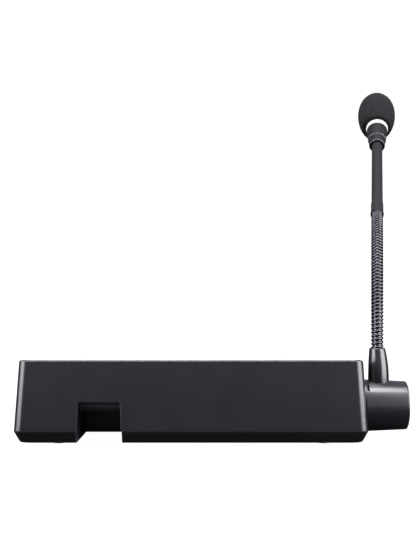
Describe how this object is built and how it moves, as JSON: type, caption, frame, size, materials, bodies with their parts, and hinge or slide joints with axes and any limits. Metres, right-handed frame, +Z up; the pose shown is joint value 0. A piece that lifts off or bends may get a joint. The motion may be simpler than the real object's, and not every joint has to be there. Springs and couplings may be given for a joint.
{
  "type": "gooseneck microphone desk console",
  "caption": "Wedge-shaped desk paging console with sprung keys and a gooseneck microphone on a side barrel, with a pull-off foam windscreen.",
  "frame": {"origin": "on the desk, under the middle of the whole object's box, with the feet's undersides at z = 0", "axes": "+X towards the side with the microphone's barrel, +Y from the rear wall towards the user, +Z up"},
  "size_m": [0.2613, 0.2016, 0.244],
  "materials": {
    "cover_plastic": "fine matt texture, near black",
    "pan_plastic": "matt black",
    "boot_plastic": "polished black",
    "foot_rubber": "light grey, smooth",
    "screw_steel": "zinc plated",
    "ballast_steel": "plain sheet",
    "board": "glass-fibre board with green solder mask",
    "part_plastic": "black moulded parts",
    "panel_film": "satin dark overlay",
    "label_paper": "blank paper strip",
    "window_clear": "clear plastic window",
    "lamp_green": "translucent lens",
    "lamp_red": "translucent lens",
    "key_grey": "fine matt",
    "neck_metal": "black-plated spring wire",
    "tube_black": "matt black paint",
    "ring_white": "translucent white",
    "foam": "open-cell foam",
    "grille_metal": "perforated, dark",
    "capsule_metal": "plain can",
    "lead_rubber": "black jacket"
  },
  "bodies": {
    "console": {"top_cover": "cover_plastic", "bottom_pan": "pan_plastic", "rubber_feet": "foot_rubber", "pan_screws": "screw_steel", "ballast_plate": "ballast_steel", "main_board": "board", "board_parts": "part_plastic", "board_screws": "screw_steel", "key_switches": "part_plastic", "network_jack": "part_plastic", "jack_board": "board", "key_panel": "panel_film", "label_strips": "label_paper", "label_windows": "window_clear", "zone_lamps": "lamp_green", "status_lamps": "lamp_red", "mic_barrel": "cover_plastic", "barrel_cap": "cover_plastic", "barrel_screws": "screw_steel", "neck_saddle": "cover_plastic", "neck_boot": "boot_plastic", "neck_stub": "screw_steel", "neck_nut": "screw_steel", "mic_lead": "lead_rubber"},
    "zone_key_1": {"zone_key_1": "key_grey"},
    "zone_key_2": {"zone_key_2": "key_grey"},
    "zone_key_3": {"zone_key_3": "key_grey"},
    "zone_key_4": {"zone_key_4": "key_grey"},
    "zone_key_5": {"zone_key_5": "key_grey"},
    "zone_key_6": {"zone_key_6": "key_grey"},
    "zone_key_7": {"zone_key_7": "key_grey"},
    "zone_key_8": {"zone_key_8": "key_grey"},
    "talk_key": {"talk_key": "key_grey"},
    "chime_key": {"chime_key": "key_grey"},
    "all_zones_key": {"all_zones_key": "key_grey"},
    "reset_key": {"reset_key": "key_grey"},
    "link_1": {"neck_link_1": "neck_metal"},
    "link_2": {"neck_link_2": "neck_metal"},
    "link_3": {"neck_link_3": "neck_metal"},
    "link_4": {"neck_link_4": "neck_metal"},
    "link_5": {"neck_link_5": "neck_metal"},
    "link_6": {"neck_link_6": "neck_metal"},
    "link_7": {"neck_link_7": "neck_metal"},
    "link_8": {"neck_link_8": "neck_metal"},
    "link_9": {"neck_link_9": "neck_metal"},
    "link_10": {"neck_link_10": "neck_metal"},
    "link_11": {"neck_link_11": "neck_metal"},
    "head": {"neck_end": "neck_metal", "neck_sleeve": "tube_black", "upper_tube": "tube_black", "head_lead": "lead_rubber", "head_holder": "cover_plastic", "holder_bush": "part_plastic", "light_ring": "ring_white", "ring_board": "board", "capsule_boot": "lead_rubber", "capsule": "capsule_metal", "capsule_grille": "grille_metal"},
    "windscreen": {"windscreen": "foam"}
  },
  "joints": [
    {"name": "zone_press_1", "type": "slide", "parent": "console", "child": "zone_key_1", "axis": [0, -0.1918, -0.9814], "range_m": [0, 0.001], "stiffness_N_per_m": 600, "springref_m": -0.0015},
    {"name": "zone_press_2", "type": "slide", "parent": "console", "child": "zone_key_2", "axis": [0, -0.1918, -0.9814], "range_m": [0, 0.001], "stiffness_N_per_m": 600, "springref_m": -0.0015},
    {"name": "zone_press_3", "type": "slide", "parent": "console", "child": "zone_key_3", "axis": [0, -0.1918, -0.9814], "range_m": [0, 0.001], "stiffness_N_per_m": 600, "springref_m": -0.0015},
    {"name": "zone_press_4", "type": "slide", "parent": "console", "child": "zone_key_4", "axis": [0, -0.1918, -0.9814], "range_m": [0, 0.001], "stiffness_N_per_m": 600, "springref_m": -0.0015},
    {"name": "zone_press_5", "type": "slide", "parent": "console", "child": "zone_key_5", "axis": [0, -0.1918, -0.9814], "range_m": [0, 0.001], "stiffness_N_per_m": 600, "springref_m": -0.0015},
    {"name": "zone_press_6", "type": "slide", "parent": "console", "child": "zone_key_6", "axis": [0, -0.1918, -0.9814], "range_m": [0, 0.001], "stiffness_N_per_m": 600, "springref_m": -0.0015},
    {"name": "zone_press_7", "type": "slide", "parent": "console", "child": "zone_key_7", "axis": [0, -0.1918, -0.9814], "range_m": [0, 0.001], "stiffness_N_per_m": 600, "springref_m": -0.0015},
    {"name": "zone_press_8", "type": "slide", "parent": "console", "child": "zone_key_8", "axis": [0, -0.1918, -0.9814], "range_m": [0, 0.001], "stiffness_N_per_m": 600, "springref_m": -0.0015},
    {"name": "talk_press", "type": "slide", "parent": "console", "child": "talk_key", "axis": [0, -0.1918, -0.9814], "range_m": [0, 0.001], "stiffness_N_per_m": 900, "springref_m": -0.0015},
    {"name": "chime_press", "type": "slide", "parent": "console", "child": "chime_key", "axis": [0, -0.1918, -0.9814], "range_m": [0, 0.001], "stiffness_N_per_m": 600, "springref_m": -0.0015},
    {"name": "all_zones_press", "type": "slide", "parent": "console", "child": "all_zones_key", "axis": [0, -0.1918, -0.9814], "range_m": [0, 0.001], "stiffness_N_per_m": 600, "springref_m": -0.0015},
    {"name": "reset_press", "type": "slide", "parent": "console", "child": "reset_key", "axis": [0, -0.1918, -0.9814], "range_m": [0, 0.001], "stiffness_N_per_m": 600, "springref_m": -0.0015},
    {"name": "neck_bend_1", "type": "hinge", "parent": "console", "child": "link_1", "pos_m": [0.0917, -0.081, 0.06275], "axis": [-0.9881, 0.1538, 0], "range_deg": [-9, 7]},
    {"name": "neck_sway_1", "type": "hinge", "parent": "link_1", "child": "link_2", "pos_m": [0.09188, -0.07983, 0.07117], "axis": [0.1505, 0.9665, -0.2079], "range_deg": [-8, 8]},
    {"name": "neck_bend_2", "type": "hinge", "parent": "link_2", "child": "link_3", "pos_m": [0.09224, -0.07752, 0.07934], "axis": [-0.9881, 0.1538, 0], "range_deg": [-9, 7]},
    {"name": "neck_sway_2", "type": "hinge", "parent": "link_3", "child": "link_4", "pos_m": [0.09273, -0.07437, 0.08722], "axis": [0.1405, 0.9027, -0.4067], "range_deg": [-8, 8]},
    {"name": "neck_bend_3", "type": "hinge", "parent": "link_4", "child": "link_5", "pos_m": [0.09331, -0.07069, 0.09486], "axis": [-0.9881, 0.1538, 0], "range_deg": [-9, 7]},
    {"name": "neck_sway_3", "type": "hinge", "parent": "link_5", "child": "link_6", "pos_m": [0.09394, -0.06662, 0.10229], "axis": [0.1326, 0.8514, -0.5075], "range_deg": [-8, 8]},
    {"name": "neck_bend_4", "type": "hinge", "parent": "link_6", "child": "link_7", "pos_m": [0.09463, -0.06217, 0.1095], "axis": [-0.9881, 0.1538, 0], "range_deg": [-9, 7]},
    {"name": "neck_sway_4", "type": "hinge", "parent": "link_7", "child": "link_8", "pos_m": [0.09538, -0.05735, 0.11646], "axis": [0.1237, 0.7943, -0.5948], "range_deg": [-8, 8]},
    {"name": "neck_bend_5", "type": "hinge", "parent": "link_8", "child": "link_9", "pos_m": [0.09619, -0.05218, 0.12316], "axis": [-0.9881, 0.1538, 0], "range_deg": [-9, 7]},
    {"name": "neck_sway_5", "type": "hinge", "parent": "link_9", "child": "link_10", "pos_m": [0.09706, -0.04656, 0.12948], "axis": [0.1097, 0.7048, -0.7009], "range_deg": [-8, 8]},
    {"name": "neck_bend_6", "type": "hinge", "parent": "link_10", "child": "link_11", "pos_m": [0.09802, -0.04041, 0.13528], "axis": [-0.9881, 0.1538, 0], "range_deg": [-9, 7]},
    {"name": "neck_sway_6", "type": "hinge", "parent": "link_11", "child": "head", "pos_m": [0.09903, -0.03389, 0.14062], "axis": [0.0942, 0.6049, -0.7907], "range_deg": [-8, 8]},
    {"name": "windscreen_pull", "type": "slide", "parent": "head", "child": "windscreen", "axis": [0.1237, 0.7943, 0.5948], "range_m": [0, 0.045]}
  ],
  "couplings": [
    {"joint": "neck_bend_2", "follows": "neck_bend_1", "ratio": 1},
    {"joint": "neck_sway_2", "follows": "neck_sway_1", "ratio": 1},
    {"joint": "neck_bend_3", "follows": "neck_bend_1", "ratio": 1},
    {"joint": "neck_sway_3", "follows": "neck_sway_1", "ratio": 1},
    {"joint": "neck_bend_4", "follows": "neck_bend_1", "ratio": 1},
    {"joint": "neck_sway_4", "follows": "neck_sway_1", "ratio": 1},
    {"joint": "neck_bend_5", "follows": "neck_bend_1", "ratio": 1},
    {"joint": "neck_sway_5", "follows": "neck_sway_1", "ratio": 1},
    {"joint": "neck_bend_6", "follows": "neck_bend_1", "ratio": 1},
    {"joint": "neck_sway_6", "follows": "neck_sway_1", "ratio": 1}
  ]
}
